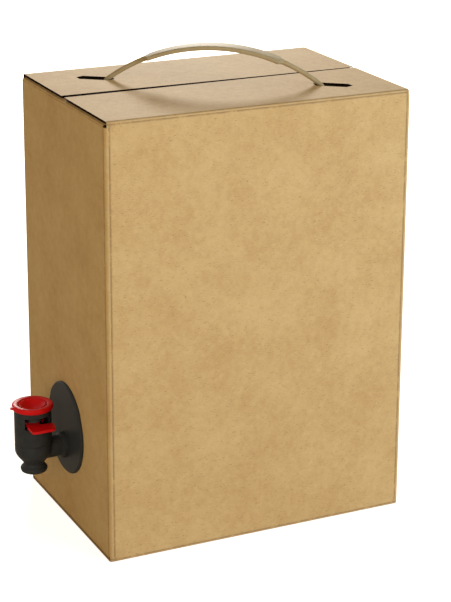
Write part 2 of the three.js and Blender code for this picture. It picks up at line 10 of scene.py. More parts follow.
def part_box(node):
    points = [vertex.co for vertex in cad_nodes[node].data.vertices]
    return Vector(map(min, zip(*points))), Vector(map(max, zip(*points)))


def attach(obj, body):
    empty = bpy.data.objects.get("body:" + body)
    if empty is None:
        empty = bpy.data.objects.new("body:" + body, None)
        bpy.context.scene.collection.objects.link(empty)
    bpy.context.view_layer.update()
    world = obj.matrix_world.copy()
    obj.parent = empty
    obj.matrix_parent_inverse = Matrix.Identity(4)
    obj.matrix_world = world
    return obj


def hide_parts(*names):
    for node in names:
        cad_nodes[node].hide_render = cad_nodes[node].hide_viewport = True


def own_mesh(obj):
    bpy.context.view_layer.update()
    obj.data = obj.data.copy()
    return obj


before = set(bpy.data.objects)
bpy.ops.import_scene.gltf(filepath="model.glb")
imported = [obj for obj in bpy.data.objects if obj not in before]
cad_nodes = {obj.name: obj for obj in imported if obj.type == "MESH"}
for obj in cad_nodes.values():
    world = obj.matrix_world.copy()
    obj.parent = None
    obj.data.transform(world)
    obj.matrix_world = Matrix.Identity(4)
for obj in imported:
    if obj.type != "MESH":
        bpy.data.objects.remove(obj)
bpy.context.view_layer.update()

MM = 0.001


# The carton. One blank of brown kraft corrugated board, 1.6 mm thick: two paper liners with a fluted
# paper between them. It is creased, folded and glued along a tab inside the back panel, and the flaps
# are glued shut.
carton_low, carton_high = (Vector(corner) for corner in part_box("carton"))
carton_middle = Vector(((carton_low.x + carton_high.x) / 2, (carton_low.y + carton_high.y) / 2, 0))
HALF_LENGTH = (carton_high.x - carton_low.x) / 2 / MM
HALF_WIDTH = (carton_high.y - carton_low.y) / 2 / MM
CARTON_HEIGHT = carton_high.z / MM
BOARD = 1.6
LINER = 0.28                 # the paper on each face of the board
FLUTE_PAPER = 0.16
FLUTE_PITCH = 3.2
FOLD_RADIUS = 2.6            # the upright folds
FLAP_FOLD_RADIUS = 1.4       # the flaps' folds, pressed harder
FOLD_STEPS = 12
FLAP_GAP = 0.3               # air between an inner flap and the outer flap over it
SEAM_GAP = 3.2               # the outer flaps spring a little apart along their meeting edges
SEAM_SPREAD = 0.8            # more so over the tap: each edge is this far off at either end
BASE_SEAM_GAP = 0.5
FLAP_SETBACK = 1.3           # from a narrow side to the cut edge of an outer top flap
BASE_SETBACK = 0.4           # the glued bottom flaps lie nearly flush with the narrow sides
INNER_FLAP_LENGTH = 65
INNER_FLAP_CLEARANCE = 0.9
TAB_WIDTH = 32
TAB_LIP = 0.5
TAB_END = 8                  # the tab stops short of the flaps' folds
SLIT_LENGTH = 23.5
SLIT_WIDTH = 8.4
SLIT_POINT = 3
SLIT_ANGLE = -37
SLIT_MIDDLE = (59.3, -36.4)
TAP_HEIGHT = 48.6
TAP_HOLE = 12.2
FLUTE_SETBACK = 1.2          # the fluting is crushed back from a die-cut edge
INNER_LINER_SETBACK = 0.5
PANEL_SWELL = 0.7            # how far the filled bag pushes the middle of a broad panel out
SIDE_SWELL = 0.42            # and of a narrow one
CREASE_GROOVE = 0.3          # depth of the two lines pressed beside a fold
CREASE_SPREAD = 0.45         # how far such a groove reaches to each side
FOLD_RUB_AND_HIGHLIGHT = 0.8              # how far from a fold the paper is rubbed pale and carries a painted highlight
UPRIGHT_MARK = 0.5           # half widths of the painted shade lines beside the folds
FLAP_MARK = 0.4
BOARD_STEP = 7               # spacing of the mesh over a flat panel
KRAFT_PAPER = "#cbae7c"
KRAFT_SHADE = "#ad8752"
KRAFT_PALE = "#dcc79c"
# painted shade for the pressed lines beside the folds
KRAFT_CREASE_SHADE = "#6b4a20"
FIBRE_DARK = "#5d4120"
# the two near-black browns of the fluting and cut edges are painted shade; real fluting is as brown as the
# liners
CUT_SHADE_BROWN = "#2e1d0f"
CUT_SHADE_BLACK = "#150d07"


def grid_solid(across, along, place, thickness):
    """A closed sheet over a grid: place(a, b, depth) gives a corner, its depth in from the outer face"""
    columns, rows = len(across), len(along)
    points = [place(a, b, depth) for depth in (0, thickness) for a in across for b in along]
    layer = columns * rows

    def spot(i, j, deep):
        return deep * layer + i * rows + j

    faces = []
    for i in range(columns - 1):
        for j in range(rows - 1):
            faces.append([spot(i, j, 0), spot(i + 1, j, 0), spot(i + 1, j + 1, 0), spot(i, j + 1, 0)])
            faces.append([spot(i, j, 1), spot(i, j + 1, 1), spot(i + 1, j + 1, 1), spot(i + 1, j, 1)])
    for i in range(columns - 1):
        faces.append([spot(i, 0, 0), spot(i, 0, 1), spot(i + 1, 0, 1), spot(i + 1, 0, 0)])
        faces.append([spot(i, rows - 1, 0), spot(i + 1, rows - 1, 0), spot(i + 1, rows - 1, 1),
                      spot(i, rows - 1, 1)])
    for j in range(rows - 1):
        faces.append([spot(0, j, 0), spot(0, j + 1, 0), spot(0, j + 1, 1), spot(0, j, 1)])
        faces.append([spot(columns - 1, j, 0), spot(columns - 1, j, 1), spot(columns - 1, j + 1, 1),
                      spot(columns - 1, j + 1, 0)])
    return points, faces


def face_outward(mesh):
    shape = bmesh.new()
    shape.from_mesh(mesh)
    bmesh.ops.recalc_face_normals(shape, faces=shape.faces)
    shape.to_mesh(mesh)
    shape.free()


def mesh_object(name, points, faces, scale=MM, shift=(0, 0, 0)):
    """An object from points, in mm unless a scale is given, and faces; shift is in metres"""
    mesh = bpy.data.meshes.new(name)
    mesh.from_pydata([tuple(c * scale + s for c, s in zip(point, shift)) for point in points], [], faces)
    face_outward(mesh)
    made = bpy.data.objects.new(name, mesh)
    bpy.context.collection.objects.link(made)
    return made


def spread(start, end, step, dense=(0.4, 0.9, 1.6, 2.6, 4.2)):
    """Places from start to end, close together near both ends and about step apart between them"""
    length = end - start
    inner = np.linspace(dense[-1], length - dense[-1], max(2, round(length / step)))
    offsets = [0, *dense[:-1], *inner, *[length - d for d in reversed(dense[:-1])], length]
    return [start + offset for offset in offsets]


def crease_dip(distance, radius):
    """Depth of the two pressed lines beside a fold, at a distance in mm along the board from its middle"""
    beside = abs(abs(distance) - radius * math.pi / 4)
    return CREASE_GROOVE * math.exp(-(beside / CREASE_SPREAD) ** 2)


def swell(across, height, half_across, amount):
    """The panel bulges where the bag leans on it, most a little below its middle"""
    side = max(0.0, 1 - (across / half_across) ** 2)
    rise = max(0.0, math.sin(math.pi * min(1.0, max(0.0, height / (CARTON_HEIGHT - 8))) ** 0.85))
    return amount * side * rise


def folded_strip(half_across, wall, top, skew):
    """place() for a strip that runs up a wall, over the crease and in along a flap. It takes how far
    across, then how far along the board from the crease's start, negative down the wall; skew
    lengthens a flap towards one side"""
    fold_start = top - FLAP_FOLD_RADIUS
    fold_run = FLAP_FOLD_RADIUS * math.pi / 2

    def place(a, b, depth):
        if b <= 0:
            reach, height = wall - depth, fold_start + b
        elif b < fold_run:
            angle = b / FLAP_FOLD_RADIUS
            radius = max(FLAP_FOLD_RADIUS - depth, 0.05)
            reach = wall - FLAP_FOLD_RADIUS + radius * math.cos(angle)
            height = fold_start + radius * math.sin(angle)
        else:
            reach = wall - FLAP_FOLD_RADIUS - (b - fold_run) * (1 + skew * a)
            height = top - depth
        dip = crease_dip(b - fold_run / 2, FLAP_FOLD_RADIUS)
        lean = min(max(b / fold_run, 0), 1) * math.pi / 2
        # a broad flap's ends follow the upright folds' rounding as it comes over from the wall
        corner = HALF_LENGTH - FOLD_RADIUS if wall == HALF_WIDTH else half_across
        past = max(0.0, abs(a) - corner)
        trim = FOLD_RADIUS - math.sqrt(FOLD_RADIUS ** 2 - past ** 2) if past < FOLD_RADIUS else FOLD_RADIUS
        reach -= (trim + dip) * math.cos(lean)
        return a, reach, height - dip * math.sin(lean)

    return place, fold_run


def turned_to(place, quarter, flip):
    """The same strip on another wall: quarter turns about the upright axis, and upside down where flip"""
    turn = Matrix.Rotation(quarter * math.pi / 2, 3, "Z")

    def moved(a, b, depth):
        x, y, z = place(a, b, depth)
        spot = turn @ Vector((x, y, CARTON_HEIGHT - z if flip else z))
        return tuple(spot)

    return moved


def ring_place():
    """place() round the four walls: distance round the outside from the middle of the front, then height"""
    straight_x = 2 * (HALF_LENGTH - FOLD_RADIUS)
    straight_y = 2 * (HALF_WIDTH - FOLD_RADIUS)
    arc = FOLD_RADIUS * math.pi / 2
    runs = [(straight_x / 2, "line", (0, -1), (0, 0)), (arc, "arc", (0, -1), (1, -1)),
            (straight_y, "line", (1, 0), (0, -1)), (arc, "arc", (1, 0), (1, 1)),
            (straight_x, "line", (0, 1), (1, 0)), (arc, "arc", (0, 1), (-1, 1)),
            (straight_y, "line", (-1, 0), (0, 1)), (arc, "arc", (-1, 0), (-1, -1)),
            (straight_x / 2, "line", (0, -1), (-1, 0))]

    def place(a, height, depth):
        gone = a
        for length, kind, facing, start in runs:
            if gone <= length + 1e-9:
                break
            gone -= length
        facing_x, facing_y = facing
        near_fold = min(gone, length - gone)
        if kind == "arc":
            centre = (start[0] * (HALF_LENGTH - FOLD_RADIUS), start[1] * (HALF_WIDTH - FOLD_RADIUS))
            angle = math.atan2(facing_y, facing_x) + gone / FOLD_RADIUS
            radius = FOLD_RADIUS - depth - crease_dip(gone - arc / 2, FOLD_RADIUS)
            return (centre[0] + radius * math.cos(angle), centre[1] + radius * math.sin(angle), height)
        broad = facing_y != 0
        half = (HALF_LENGTH if broad else HALF_WIDTH) - FOLD_RADIUS
        wall = HALF_WIDTH if broad else HALF_LENGTH
        position = gone - half if start != (0, 0) else gone
        dip = crease_dip(near_fold + arc / 2, FOLD_RADIUS) if start != (0, 0) or gone > 10 else 0
        bulge = swell(position, height, half, PANEL_SWELL if broad else SIDE_SWELL)
        out = wall - depth + bulge - dip
        along = (-facing_y, facing_x)
        return (facing_x * out + along[0] * position, facing_y * out + along[1] * position, height)

    return place, runs, arc


def paint_cut_shade(piece, faces):
    """Gives faces the second material, the near-black fluting that paints the shade of a cut edge"""
    piece.data.materials.append(None)
    piece.data.materials.append(None)
    for face in faces:
        face.material_index = 1


def cut_from(target, cutter):
    """Takes the cutter's form out of the target's mesh"""
    hollow = target.modifiers.new("cut", "BOOLEAN")
    hollow.operation = "DIFFERENCE"
    hollow.solver = "EXACT"
    hollow.object = cutter
    bpy.context.view_layer.update()
    ready = target.evaluated_get(bpy.context.evaluated_depsgraph_get())
    cut_mesh = bpy.data.meshes.new_from_object(ready)
    target.modifiers.clear()
    target.data = cut_mesh


def slit_cutter(side, margin):
    """The form that cuts one of the handle's two slits, larger by a margin all round"""
    half = SLIT_LENGTH / 2 + margin
    wide = SLIT_WIDTH / 2 + margin
    outline = [(-half, 0), (-half + SLIT_POINT, -wide), (half - SLIT_POINT, -wide),
               (half, 0), (half - SLIT_POINT, wide), (-half + SLIT_POINT, wide)]
    turn = Matrix.Rotation(math.radians(SLIT_ANGLE), 2)
    middle = Vector(SLIT_MIDDLE) * side
    corners = [turn @ Vector(corner) + middle for corner in outline]
    points = [(c.x, c.y, z) for z in (CARTON_HEIGHT - 8, CARTON_HEIGHT + 4) for c in corners]
    sides = [[i, (i + 1) % 6, (i + 1) % 6 + 6, i + 6] for i in range(6)]
    cutter = mesh_object("slit_cutter", points, [list(range(5, -1, -1)), list(range(6, 12)), *sides],
                         shift=carton_middle)
    # its faces, which the boolean leaves on the board, take the painted shade of a cut edge
    paint_cut_shade(cutter, cutter.data.polygons)
    return cutter


def disc_cutter(name, radius, x0, x1, height, corners=64):
    """A disc across a narrow side, from x0 to x1, at a height"""
    ring = [(radius * math.cos(2 * math.pi * i / corners), radius * math.sin(2 * math.pi * i / corners))
            for i in range(corners)]
    points = [(x, y, height + z) for x in (x0, x1) for y, z in ring]
    sides = [[i, (i + 1) % corners, (i + 1) % corners + corners, i + corners] for i in range(corners)]
    caps = [list(range(corners - 1, -1, -1)), list(range(corners, 2 * corners))]
    return mesh_object(name, points, [*caps, *sides], shift=carton_middle)


def fluted(place):
    """The wavy paper between the liners: its depth swings from one liner to the other across the board"""
    swing = (BOARD - 2 * LINER - FLUTE_PAPER) / 2
    middle = (BOARD - FLUTE_PAPER) / 2

    def waved(a, b, depth):
        return place(a, b, middle + swing * math.cos(2 * math.pi * a / FLUTE_PITCH) + depth)

    return waved


def liner_inside(place):
    """The liner on the board's inner face"""
    return lambda a, b, depth: place(a, b, BOARD - LINER + depth)


inner_top = CARTON_HEIGHT - BOARD - FLAP_GAP
wall_low = BOARD + FLAP_GAP + FLAP_FOLD_RADIUS
wall_high = inner_top - FLAP_FOLD_RADIUS
slits = {margin: [slit_cutter(1, margin), slit_cutter(-1, margin)]
         for margin in (0, INNER_LINER_SETBACK, FLUTE_SETBACK)}
tap_hole = disc_cutter("tap_hole", TAP_HOLE, -HALF_LENGTH - 5, -HALF_LENGTH + 5, TAP_HEIGHT)
liners, flutes = [], []

for quarter in range(4):
    broad = quarter % 2 == 0
    wall = HALF_WIDTH if broad else HALF_LENGTH
    top = CARTON_HEIGHT if broad else inner_top
    low = wall_high - (top - FLAP_FOLD_RADIUS)
    for flip in (False, True):
        half_across = HALF_WIDTH - BOARD - INNER_FLAP_CLEARANCE
        flap = INNER_FLAP_LENGTH - FLAP_FOLD_RADIUS
        if broad:
            flap = wall - (BASE_SEAM_GAP if flip else SEAM_GAP) / 2 - FLAP_FOLD_RADIUS
            half_across = HALF_LENGTH - (BASE_SETBACK if flip else FLAP_SETBACK)
        skew = (1 - quarter) * SEAM_SPREAD / (flap * half_across) if broad and not flip else 0
        place, fold_run = folded_strip(half_across, wall, top, skew)
        on_wall = turned_to(place, quarter, flip)
        wall_rows = [low, low / 2] if low < -0.5 else [low] if low < -0.01 else []
        fold_rows = list(np.linspace(0, fold_run, FOLD_STEPS + 1))
        sheets = [(liners, 0, on_wall, LINER), (liners, INNER_LINER_SETBACK, liner_inside(on_wall), LINER),
                  (flutes, FLUTE_SETBACK, fluted(on_wall), FLUTE_PAPER)]
        for kind, setback, layer, thickness in sheets:
            reach, end = half_across - setback, fold_run + flap - setback
            if kind is flutes:
                columns = list(np.arange(-reach, reach, FLUTE_PITCH / 8))
                rows = [fold_run * 0.9, end]
            else:
                columns = spread(-reach, reach, BOARD_STEP)
                rows = wall_rows + fold_rows + spread(fold_run, end, BOARD_STEP)[1:]
            sheet = mesh_object("flap", *grid_solid(columns, rows, layer, thickness), shift=carton_middle)
            if not flip:
                # the rim, and the face that looks into the board, get the near-black second material:
                # painted shade for the cut edge and the gap between the liners
                flat = 2 * (len(columns) - 1) * (len(rows) - 1)
                raw = list(sheet.data.polygons)
                paint_cut_shade(sheet, raw[flat:] + raw[0 if setback else 1:flat:2])
                for slit in slits[setback if broad else FLUTE_SETBACK]:
                    cut_from(sheet, slit)
            kind.append(sheet)

place, runs, arc = ring_place()
round_run = sum(length for length, *_ in runs)
seam_at = runs[0][0] + runs[1][0] + runs[2][0] + runs[3][0]      # the back panel's right-hand end
ring_stops = []
gone = 0.0
for length, kind, *_ in runs:
    step = np.linspace(0, length, FOLD_STEPS + 1) if kind == "arc" else spread(0, length, BOARD_STEP)
    ring_stops += [gone + offset for offset in step[:-1]]
    gone += length
ring_stops = [stop for stop in ring_stops if not seam_at < stop < seam_at + TAB_LIP]
before_seam = [stop for stop in ring_stops if stop <= seam_at + 1e-6]
after_seam = [seam_at + TAB_LIP, *[stop for stop in ring_stops if stop > seam_at + TAB_LIP]]
around = after_seam + [round_run + stop for stop in before_seam]


def round_the_walls(a, b, depth):
    return place(a % round_run, b, depth)


heights = spread(wall_low, wall_high, BOARD_STEP)
wave_around = list(np.arange(around[0] + 0.2, around[-1] - 0.2, FLUTE_PITCH / 6))
for kind, shape in [(liners, grid_solid(around, heights, round_the_walls, LINER)),
                    (liners, grid_solid(around, heights, liner_inside(round_the_walls), LINER)),
                    (flutes, grid_solid(wave_around, [wall_low, TAP_HEIGHT, wall_high],
                                        fluted(round_the_walls), FLUTE_PAPER))]:
    sheet = mesh_object("walls", *shape, shift=carton_middle)
    cut_from(sheet, tap_hole)
    kind.append(sheet)

tab_face = HALF_WIDTH - BOARD


def glue_tab(a, b, depth):
    return a, tab_face - depth, b


liners.append(mesh_object("glue_tab", *grid_solid(
    list(np.linspace(HALF_LENGTH - BOARD - TAB_WIDTH, HALF_LENGTH - BOARD, 6)),
    list(np.linspace(wall_low + TAB_END, wall_high - TAB_END, 10)), glue_tab, BOARD), shift=carton_middle))


def join_pieces(name, pieces):
    """One object from several, which are then gone"""
    whole = bmesh.new()
    for piece in pieces:
        whole.from_mesh(piece.data)
    mesh = bpy.data.meshes.new(name)
    whole.to_mesh(mesh)
    whole.free()
    made = bpy.data.objects.new(name, mesh)
    bpy.context.collection.objects.link(made)
    for piece in pieces:
        bpy.data.objects.remove(piece)
    return made


def smooth_by_angle(piece, degrees):
    """Shades smooth, but keeps edges sharper than an angle"""
    piece.data.polygons.foreach_set("use_smooth", [True] * len(piece.data.polygons))
    piece.data.set_sharp_from_angle(angle=math.radians(degrees))
    piece.data.update()


carton_liners = join_pieces("carton_board", liners)
carton_flutes = join_pieces("carton_flutes", flutes)
for cutter in [*sum(slits.values(), []), tap_hole]:
    bpy.data.objects.remove(cutter)
smooth_by_angle(carton_liners, 35)
smooth_by_angle(carton_flutes, 50)


def linear(hex_colour):
    """An sRGB colour as on a colour card, in the linear numbers that shaders take"""
    parts = [int(hex_colour[i:i + 2], 16) / 255 for i in (1, 3, 5)]
    return (*[p / 12.92 if p <= 0.04045 else ((p + 0.055) / 1.055) ** 2.4 for p in parts], 1.0)


def add(tree, kind, inputs=None, **settings):
    """Adds a node with its settings; inputs are numbers, colours or the sockets that feed them"""
    made = tree.nodes.new("ShaderNode" + kind)
    for setting, value in settings.items():
        setattr(made, setting, value)
    for socket, value in (inputs or {}).items():
        if isinstance(value, bpy.types.NodeSocket):
            tree.links.new(value, made.inputs[socket])
        else:
            made.inputs[socket].default_value = value
    return made


def new_material(name):
    """A material with only its output, and the place on the piece in metres"""
    made = bpy.data.materials.new(name)
    made.use_nodes = True
    made.node_tree.nodes.clear()
    output = add(made.node_tree, "OutputMaterial")
    place_on_piece = add(made.node_tree, "TexCoord").outputs["Object"]
    return made, made.node_tree, output, place_on_piece


def fold_distance(radius, inset_a, inset_b):
    """Distance along the board from the fold's nearer pressed line, negative between the two lines, from
    how far a spot lies in from the two faces that meet there"""
    if inset_a < radius and inset_b < radius:
        return radius * (abs(math.atan2(radius - inset_b, radius - inset_a) - math.pi / 4) - math.pi / 4)
    return max(inset_a - radius, 0.0) + max(inset_b - radius, 0.0)


def fold_marks(piece):
    """Stores at each corner of the mesh how near it is to a fold, and to a fold's two pressed lines: masks
    for the fold's rubbed, highlighted band and for the painted shade in the pressed lines
    """
    near, pressed = [], []
    for vertex in piece.data.vertices:
        x, y, z = (vertex.co - carton_middle) / MM
        in_x, in_y, in_z = HALF_LENGTH - abs(x), HALF_WIDTH - abs(y), min(z, CARTON_HEIGHT - z)
        upright = fold_distance(FOLD_RADIUS, in_x, in_y)
        level = fold_distance(FLAP_FOLD_RADIUS, in_y, in_z)
        near.append(math.exp(-(max(min(upright, level), 0) / FOLD_RUB_AND_HIGHLIGHT) ** 2))
        pressed.append(max(math.exp(-(upright / UPRIGHT_MARK) ** 2), math.exp(-(level / FLAP_MARK) ** 2)))
    for name, values in (("fold", near), ("pressed_line", pressed)):
        layer = piece.data.attributes.new(name, "FLOAT", "POINT")
        layer.data.foreach_set("value", values)


fold_marks(carton_liners)

# Uncoated brown kraft linerboard, rolled but not glazed: matt, cloudy from the pulp, with short dark and
# pale fibres, painted shade in the pressed lines beside the folds, and a pale band along each fold, partly
# rubbed paper and partly a painted highlight.
kraft, tree, output, spot = new_material("kraft linerboard")
# a real fibre is 1 to 3 mm long and far thinner than a pixel, so it is drawn 0.35 mm wide
fibres = []
for turn, (along, across) in enumerate([(0.0024, 0.00036), (0.002, 0.00034), (0.0017, 0.0004)]):
    angle = math.radians(20 + 62 * turn)
    lie = add(tree, "Mapping", {"Vector": spot, "Rotation": (angle, 0.7 * angle, angle + 0.4),
                                "Scale": (1 / along, 1 / across, 1 / across)})
    grain = add(tree, "TexNoise", {"Vector": lie.outputs[0], "Scale": 1.0, "Detail": 1.0})
    fibres.append(grain.outputs["Fac"])
darkest = add(tree, "Math", {0: fibres[0], 1: fibres[1]}, operation="MAXIMUM")
dark_fibres = add(tree, "MapRange", {"Value": darkest.outputs[0], "From Min": 0.675, "From Max": 0.78})
pale_fibres = add(tree, "MapRange", {"Value": fibres[2], "From Min": 0.6, "From Max": 0.8,
                                     "To Max": 0.45})
cloud = add(tree, "TexNoise", {"Vector": spot, "Scale": 1 / 0.028, "Detail": 3.0, "Roughness": 0.6})
fine_cloud = add(tree, "TexNoise", {"Vector": spot, "Scale": 1 / 0.0045, "Detail": 4.0, "Roughness": 0.7})
clouding = add(tree, "Math", {0: cloud.outputs["Fac"], 1: fine_cloud.outputs["Fac"]}, operation="ADD")
cloudy = add(tree, "MapRange", {"Value": clouding.outputs[0], "From Min": 0.75, "From Max": 1.3,
                                "To Min": 0.0, "To Max": 0.5})
paper = add(tree, "Mix", {0: cloudy.outputs[0], 6: linear(KRAFT_PAPER), 7: linear(KRAFT_SHADE)},
            data_type="RGBA")
with_pale = add(tree, "Mix", {0: pale_fibres.outputs[0], 6: paper.outputs[2], 7: linear(KRAFT_PALE)},
                data_type="RGBA")
fleck_strength = add(tree, "Math", {0: dark_fibres.outputs[0], 1: 0.55}, operation="MULTIPLY")
with_dark = add(tree, "Mix", {0: fleck_strength.outputs[0], 6: with_pale.outputs[2],
                              7: linear(FIBRE_DARK)}, data_type="RGBA")
near_fold = add(tree, "Attribute", attribute_name="fold")
pressed_line = add(tree, "Attribute", attribute_name="pressed_line")
broken = add(tree, "MapRange", {"Value": fine_cloud.outputs["Fac"], "From Min": 0.38, "From Max": 0.58,
                                "To Min": 0.25, "To Max": 0.95})
# painted shade along the pressed lines beside each fold, broken up by the fine cloud
crease_shade_mask = add(tree, "Math", {0: pressed_line.outputs["Fac"], 1: broken.outputs[0]}, operation="MULTIPLY")
with_crease_shade = add(tree, "Mix", {0: crease_shade_mask.outputs[0], 6: with_dark.outputs[2], 7: linear(KRAFT_CREASE_SHADE)},
              data_type="RGBA")
# a paler band near each fold: partly rubbed paper, partly a painted highlight on the fold's rounding
rub_and_highlight_noise = add(tree, "MapRange", {"Value": fine_cloud.outputs["Fac"], "From Min": 0.45, "From Max": 0.62,
                                "To Min": 0.0, "To Max": 0.3})
rub_and_highlight_band = add(tree, "Math", {0: near_fold.outputs["Fac"], 1: rub_and_highlight_noise.outputs[0]}, operation="MULTIPLY")
board_rubbed_and_highlighted = add(tree, "Mix", {0: rub_and_highlight_band.outputs[0], 6: with_crease_shade.outputs[2], 7: linear(KRAFT_PALE)},
                 data_type="RGBA")
# the paper's tooth is near 0.2 mm; it is drawn at 0.6 mm so that it shows
tooth = add(tree, "TexNoise", {"Vector": spot, "Scale": 1 / 0.0006, "Detail": 4.0, "Roughness": 0.65})
relief = add(tree, "Math", {0: tooth.outputs["Fac"], 1: dark_fibres.outputs[0]}, operation="ADD")
paper_bump = add(tree, "Bump", {"Height": relief.outputs[0], "Strength": 0.35, "Distance": 0.00008})
cloud_bump = add(tree, "Bump", {"Height": fine_cloud.outputs["Fac"], "Strength": 0.35,
                                "Distance": 0.00035, "Normal": paper_bump.outputs[0]})
surface = add(tree, "BsdfPrincipled", {"Base Color": board_rubbed_and_highlighted.outputs[2], "Roughness": 0.7,
                                       "IOR": 1.45, "Specular IOR Level": 0.18,
                                       "Normal": cloud_bump.outputs[0]})
tree.links.new(surface.outputs[0], output.inputs["Surface"])
carton_liners.data.materials.append(kraft)

# Fluting paper and cut edges, the same pulp but rough and open, coloured near-black as painted shade: the
# shade inside the flutes and gaps, dark lines where the board ends.
fluting, tree, output, spot = new_material("kraft fluting with painted shade")
pulp = add(tree, "TexNoise", {"Vector": spot, "Scale": 1 / 0.0015, "Detail": 3.0})
# painted shade: these near-black browns stand for the shade in the open flutes and at the board's rim
brown = add(tree, "Mix", {0: pulp.outputs["Fac"], 6: linear(CUT_SHADE_BROWN), 7: linear(CUT_SHADE_BLACK)},
            data_type="RGBA")
surface = add(tree, "BsdfPrincipled", {"Base Color": brown.outputs[2], "Roughness": 0.9, "IOR": 1.45,
                                       "Specular IOR Level": 0.1})
tree.links.new(surface.outputs[0], output.inputs["Surface"])
carton_liners.data.materials.append(fluting)
carton_flutes.data.materials.append(fluting)

for piece in (carton_liners, carton_flutes):
    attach(piece, "root")
    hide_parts("carton")


# The bag. A pillow of metallised barrier film filled with five litres and sealed all round, which the
# carton's walls have squared; the film hangs in soft creases where it isn't pressed flat.
FILM_SILVER = "#c9ccd0"
FILM_SHADE = "#9da1a7"
CREASE_DEPTH = 1.1           # mm, always inward, so that the film stays clear of the board
CREASES = 14
FILM_MESH = 2.4
SMOOTH_ROUND_GLAND = 26      # the film is welded flat out to here, and creased further out
SMOOTH_FADE = 12


def copy_of(node, name):
    """A new piece with a CAD node's form, its corners welded and its flat faces made whole again"""
    source = cad_nodes[node]
    shape = bmesh.new()
    shape.from_mesh(source.data)
    bmesh.ops.remove_doubles(shape, verts=shape.verts, dist=0.00001)
    bmesh.ops.dissolve_limit(shape, angle_limit=math.radians(0.4), verts=shape.verts, edges=shape.edges)
    bmesh.ops.recalc_face_normals(shape, faces=shape.faces)
    mesh = bpy.data.meshes.new(name)
    shape.to_mesh(mesh)
    shape.free()
    made = bpy.data.objects.new(name, mesh)
    bpy.context.collection.objects.link(made)
    return made


bag = copy_of("bag", "bag_film")
remesh = bag.modifiers.new("even mesh", "REMESH")
remesh.mode = "VOXEL"
remesh.voxel_size = FILM_MESH * MM
remesh.use_smooth_shade = True
bpy.context.view_layer.update()
bag.data = bpy.data.meshes.new_from_object(bag.evaluated_get(bpy.context.evaluated_depsgraph_get()))
bag.modifiers.clear()
bag_low, bag_high = (Vector(corner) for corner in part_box("bag"))
bag_middle = (bag_low + bag_high) / 2
bag_half = (bag_high - bag_low) / 2
gland_place = Vector((bag_low.x, bag_middle.y, TAP_HEIGHT * MM))
crinkle = np.random.default_rng(7)
folds = [(Vector(crinkle.normal(size=3)).normalized(), crinkle.uniform(90, 420), crinkle.uniform(0, 6.28))
         for _ in range(CREASES)]
normals = [vertex.normal.copy() for vertex in bag.data.vertices]
for vertex, normal in zip(bag.data.vertices, normals):
    offset = vertex.co - bag_middle
    share = [abs(offset[i]) / bag_half[i] for i in range(3)]
    slack = 0.25 + 0.75 * min(1.0, max(0.0, (max(share[0], share[1]) + share[2] - 1.25) / 0.6))
    wave = sum((1 - abs(math.sin(vertex.co.dot(line) * rate + phase))) ** 5 for line, rate, phase in folds)
    near_gland = (vertex.co - gland_place).length
    clear = min(1.0, max(0.0, (near_gland / MM - SMOOTH_ROUND_GLAND) / SMOOTH_FADE))
    vertex.co -= normal * (CREASE_DEPTH * MM * min(1.0, wave / 3.0) * slack * clear)
smooth_by_angle(bag, 60)

# Metallised polyester laminate, blown and laminated: a soft silver with blurred, streaky gloss.
film, tree, output, spot = new_material("metallised barrier film")
streaks = add(tree, "TexNoise", {"Vector": spot, "Scale": 1 / 0.018, "Detail": 5.0, "Roughness": 0.6,
                                 "Distortion": 1.2})
silver = add(tree, "Mix", {0: streaks.outputs["Fac"], 6: linear(FILM_SILVER), 7: linear(FILM_SHADE)},
             data_type="RGBA")
sheen = add(tree, "MapRange", {"Value": streaks.outputs["Fac"], "To Min": 0.22, "To Max": 0.42})
crumple = add(tree, "Bump", {"Height": streaks.outputs["Fac"], "Strength": 0.5, "Distance": 0.0012})
surface = add(tree, "BsdfPrincipled", {"Base Color": silver.outputs[2], "Metallic": 0.85,
                                       "Roughness": sheen.outputs[0], "Normal": crumple.outputs[0]})
tree.links.new(surface.outputs[0], output.inputs["Surface"])
bag.data.materials.append(film)
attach(bag, "root")
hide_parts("bag")


# The gland. A ring of natural polyethylene, injection moulded and welded into the film;
# its outer flange holds the board between itself and the tap's disc.
NATURAL_POLYETHYLENE = "#e7e4da"
NATURAL_SHADE = "#d6d1c2"
EDGE_ROUND = 0.18            # mm, the radius that a mould leaves on outside corners


def mould_edges(piece, radius, sharpest=32, steps=2):
    """Rounds the corners as a mould does, and smooths the rest of the surface"""
    rounding = piece.modifiers.new("moulded corners", "BEVEL")
    rounding.width = radius * MM
    rounding.segments = steps
    rounding.limit_method = "ANGLE"
    rounding.angle_limit = math.radians(sharpest)
    rounding.harden_normals = True
    rounding.use_clamp_overlap = True
    smooth_by_angle(piece, sharpest)


gland = copy_of("spout_gland", "gland_ring")
mould_edges(gland, EDGE_ROUND)

# Natural polyethylene, injection moulded: milky, satin, faintly let through by light at thin edges.
polyethylene, tree, output, spot = new_material("natural polyethylene")
flow = add(tree, "TexNoise", {"Vector": spot, "Scale": 1 / 0.006, "Detail": 2.0})
milky = add(tree, "Mix", {0: flow.outputs["Fac"], 6: linear(NATURAL_POLYETHYLENE),
                          7: linear(NATURAL_SHADE)}, data_type="RGBA")
skin = add(tree, "TexNoise", {"Vector": spot, "Scale": 1 / 0.0004, "Detail": 2.0})
satin = add(tree, "Bump", {"Height": skin.outputs["Fac"], "Strength": 0.15, "Distance": 0.00003})
surface = add(tree, "BsdfPrincipled", {"Base Color": milky.outputs[2], "Roughness": 0.42, "IOR": 1.51,
                                       "Subsurface Weight": 0.12, "Subsurface Scale": 0.002,
                                       "Normal": satin.outputs[0]})
tree.links.new(surface.outputs[0], output.inputs["Surface"])
gland.data.materials.append(polyethylene)
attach(gland, "root")
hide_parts("spout_gland")


